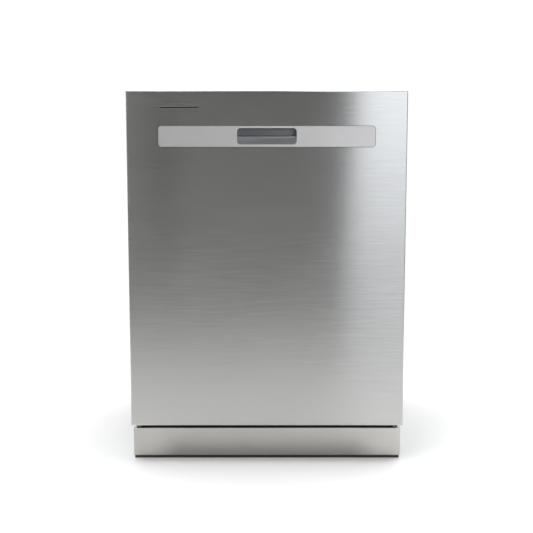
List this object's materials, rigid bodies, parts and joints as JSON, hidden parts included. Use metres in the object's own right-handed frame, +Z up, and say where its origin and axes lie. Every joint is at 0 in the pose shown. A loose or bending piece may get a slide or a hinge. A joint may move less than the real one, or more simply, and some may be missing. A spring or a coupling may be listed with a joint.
{
  "type": "built-in dishwasher",
  "caption": "Built-in dishwasher with a brushed steel drop-down door, a flush pocket handle strip, hidden top controls, sliding racks and a toe kick.",
  "frame": {"origin": "on the floor, under the middle of the machine's box", "axes": "+X across the front, +Y from the door to the back, +Z up"},
  "size_m": [0.606, 0.622, 0.826],
  "materials": {
    "brushed_stainless": "brushed across, lightly coated against fingerprints",
    "tub_stainless": "bright rolled",
    "galvanised_steel": "zinc coated",
    "spring_steel": "drawn wire",
    "satin_silver": "satin",
    "black_plastic": "fine moulded grain",
    "grey_plastic": "moulded",
    "white_plastic": "moulded",
    "nylon_wire": "nylon coated wire",
    "gasket_rubber": "matt",
    "bitumen_felt": "felt faced bitumen",
    "smoked_lens": "polished"
  },
  "bodies": {
    "cabinet": {"tub": "tub_stainless", "tub_gasket": "gasket_rubber", "base_frame": "galvanised_steel", "front_frame": "galvanised_steel", "sound_blanket": "bitumen_felt", "toe_kick": "brushed_stainless", "toe_seal": "gasket_rubber", "kick_backing": "black_plastic", "latch_strike": "galvanised_steel", "wash_motor": "black_plastic", "drain_pump": "grey_plastic", "inlet_valve": "white_plastic", "junction_box": "galvanised_steel", "heater": "spring_steel", "water_manifold": "grey_plastic", "sump": "black_plastic", "foot_front_left": "black_plastic", "foot_rear_left": "black_plastic", "counter_bracket_left": "galvanised_steel", "rack_guide_left": "tub_stainless", "balance_spring_left": "spring_steel", "foot_front_right": "black_plastic", "foot_rear_right": "black_plastic", "counter_bracket_right": "galvanised_steel", "rack_guide_right": "tub_stainless", "balance_spring_right": "spring_steel"},
    "door": {"door_skin": "brushed_stainless", "pull_handle": "satin_silver", "status_lens": "smoked_lens", "door_liner": "tub_stainless", "console": "black_plastic", "dispenser": "grey_plastic", "door_vent": "grey_plastic", "hinge_arm_left": "galvanised_steel", "hinge_arm_right": "galvanised_steel"},
    "spring_hook_left": {"spring_hook_left": "spring_steel"},
    "spring_hook_right": {"spring_hook_right": "spring_steel"},
    "latch_hook": {"latch_hook": "galvanised_steel"},
    "dispenser_lid": {"dispenser_lid": "white_plastic"},
    "rinse_cap": {"rinse_cap": "grey_plastic"},
    "button_1": {"button_1": "black_plastic"},
    "button_2": {"button_2": "black_plastic"},
    "button_3": {"button_3": "black_plastic"},
    "button_4": {"button_4": "black_plastic"},
    "middle_rails": {"middle_rail_left": "tub_stainless", "middle_rail_right": "tub_stainless"},
    "upper_rack": {"upper_rack": "nylon_wire", "upper_feed_tube": "grey_plastic"},
    "cup_shelf": {"cup_shelf": "nylon_wire"},
    "upper_spray_arm": {"upper_spray_arm": "grey_plastic"},
    "lower_rack": {"lower_rack": "nylon_wire"},
    "cutlery_basket": {"cutlery_basket": "grey_plastic"},
    "tine_row": {"tine_row": "nylon_wire"},
    "wheel_front_left": {"wheel_front_left": "grey_plastic"},
    "wheel_front_right": {"wheel_front_right": "grey_plastic"},
    "wheel_rear_left": {"wheel_rear_left": "grey_plastic"},
    "wheel_rear_right": {"wheel_rear_right": "grey_plastic"},
    "lower_spray_arm": {"lower_spray_arm": "grey_plastic"},
    "filter_cup": {"filter_cup": "grey_plastic"},
    "float_dome": {"float_dome": "white_plastic"}
  },
  "joints": [
    {"name": "door_hinge", "type": "hinge", "parent": "cabinet", "child": "door", "pos_m": [0, -0.265, 0.08], "axis": [1, 0, 0], "range_deg": [0, 90], "stiffness_Nm_per_rad": 14},
    {"name": "middle_rails_slide", "type": "slide", "parent": "cabinet", "child": "middle_rails", "axis": [0, -1, 0], "range_m": [0, 0.25]},
    {"name": "upper_rack_slide", "type": "slide", "parent": "cabinet", "child": "upper_rack", "axis": [0, -1, 0], "range_m": [0, 0.5]},
    {"name": "lower_rack_slide", "type": "slide", "parent": "cabinet", "child": "lower_rack", "axis": [0, -1, 0], "range_m": [0, 0.52]},
    {"name": "wheel_front_left_spin", "type": "hinge", "parent": "lower_rack", "child": "wheel_front_left", "pos_m": [-0.257, -0.109, 0.1373], "axis": [1, 0, 0], "range_deg": [0, 1800]},
    {"name": "wheel_front_right_spin", "type": "hinge", "parent": "lower_rack", "child": "wheel_front_right", "pos_m": [0.257, -0.109, 0.1373], "axis": [1, 0, 0], "range_deg": [0, 1800]},
    {"name": "wheel_rear_left_spin", "type": "hinge", "parent": "lower_rack", "child": "wheel_rear_left", "pos_m": [-0.257, 0.16, 0.1373], "axis": [1, 0, 0], "range_deg": [0, 1800]},
    {"name": "wheel_rear_right_spin", "type": "hinge", "parent": "lower_rack", "child": "wheel_rear_right", "pos_m": [0.257, 0.16, 0.1373], "axis": [1, 0, 0], "range_deg": [0, 1800]},
    {"name": "spring_hook_left_slide", "type": "slide", "parent": "cabinet", "child": "spring_hook_left", "axis": [0, -1, 0], "range_m": [0, 0.035], "deforming": ["balance_spring_left"]},
    {"name": "spring_hook_right_slide", "type": "slide", "parent": "cabinet", "child": "spring_hook_right", "axis": [0, -1, 0], "range_m": [0, 0.035], "deforming": ["balance_spring_right"]},
    {"name": "button_1_press", "type": "slide", "parent": "door", "child": "button_1", "axis": [0, 0, -1], "range_m": [0, 0.001], "stiffness_N_per_m": 300},
    {"name": "button_2_press", "type": "slide", "parent": "door", "child": "button_2", "axis": [0, 0, -1], "range_m": [0, 0.001], "stiffness_N_per_m": 300},
    {"name": "button_3_press", "type": "slide", "parent": "door", "child": "button_3", "axis": [0, 0, -1], "range_m": [0, 0.001], "stiffness_N_per_m": 300},
    {"name": "button_4_press", "type": "slide", "parent": "door", "child": "button_4", "axis": [0, 0, -1], "range_m": [0, 0.001], "stiffness_N_per_m": 300},
    {"name": "latch_hook_pivot", "type": "hinge", "parent": "door", "child": "latch_hook", "pos_m": [0, -0.2815, 0.8056], "axis": [1, 0, 0], "range_deg": [0, 20]},
    {"name": "dispenser_lid_slide", "type": "slide", "parent": "door", "child": "dispenser_lid", "axis": [1, 0, 0], "range_m": [0, 0.088]},
    {"name": "rinse_cap_turn", "type": "hinge", "parent": "door", "child": "rinse_cap", "pos_m": [-0.09, -0.2229, 0.5], "axis": [0, 1, 0], "range_deg": [0, 90]},
    {"name": "cup_shelf_fold", "type": "hinge", "parent": "upper_rack", "child": "cup_shelf", "pos_m": [-0.2245, 0, 0.6], "axis": [0, -1, 0], "range_deg": [0, 90]},
    {"name": "upper_spray_arm_spin", "type": "hinge", "parent": "upper_rack", "child": "upper_spray_arm", "pos_m": [0, 0.03, 0.49], "axis": [0, 0, 1], "continuous": true},
    {"name": "lower_spray_arm_spin", "type": "hinge", "parent": "cabinet", "child": "lower_spray_arm", "pos_m": [0, 0.03, 0.146], "axis": [0, 0, 1], "continuous": true},
    {"name": "cutlery_basket_lift", "type": "slide", "parent": "lower_rack", "child": "cutlery_basket", "axis": [0, 0, 1], "range_m": [0, 0.13]},
    {"name": "tine_row_fold", "type": "hinge", "parent": "lower_rack", "child": "tine_row", "pos_m": [0, 0.06, 0.168], "axis": [-1, 0, 0], "range_deg": [0, 82]},
    {"name": "filter_cup_turn", "type": "hinge", "parent": "cabinet", "child": "filter_cup", "pos_m": [0.037, 0.067, 0.1], "axis": [0, 0, 1], "range_deg": [0, 90]},
    {"name": "float_rise", "type": "slide", "parent": "cabinet", "child": "float_dome", "axis": [0, 0, 1], "range_m": [0, 0.008]}
  ],
  "couplings": [
    {"joint": "middle_rails_slide", "follows": "door_hinge", "m_per_rad": 0.15915},
    {"joint": "upper_rack_slide", "follows": "door_hinge", "m_per_rad": 0.31831},
    {"joint": "lower_rack_slide", "follows": "door_hinge", "m_per_rad": 0.09},
    {"joint": "wheel_front_left_spin", "follows": "door_hinge", "ratio": 5.2941},
    {"joint": "wheel_front_right_spin", "follows": "door_hinge", "ratio": 5.2941},
    {"joint": "wheel_rear_left_spin", "follows": "door_hinge", "ratio": 5.2941},
    {"joint": "wheel_rear_right_spin", "follows": "door_hinge", "ratio": 5.2941},
    {"joint": "spring_hook_left_slide", "follows": "door_hinge", "m_per_rad": 0.022},
    {"joint": "spring_hook_right_slide", "follows": "door_hinge", "m_per_rad": 0.022}
  ]
}
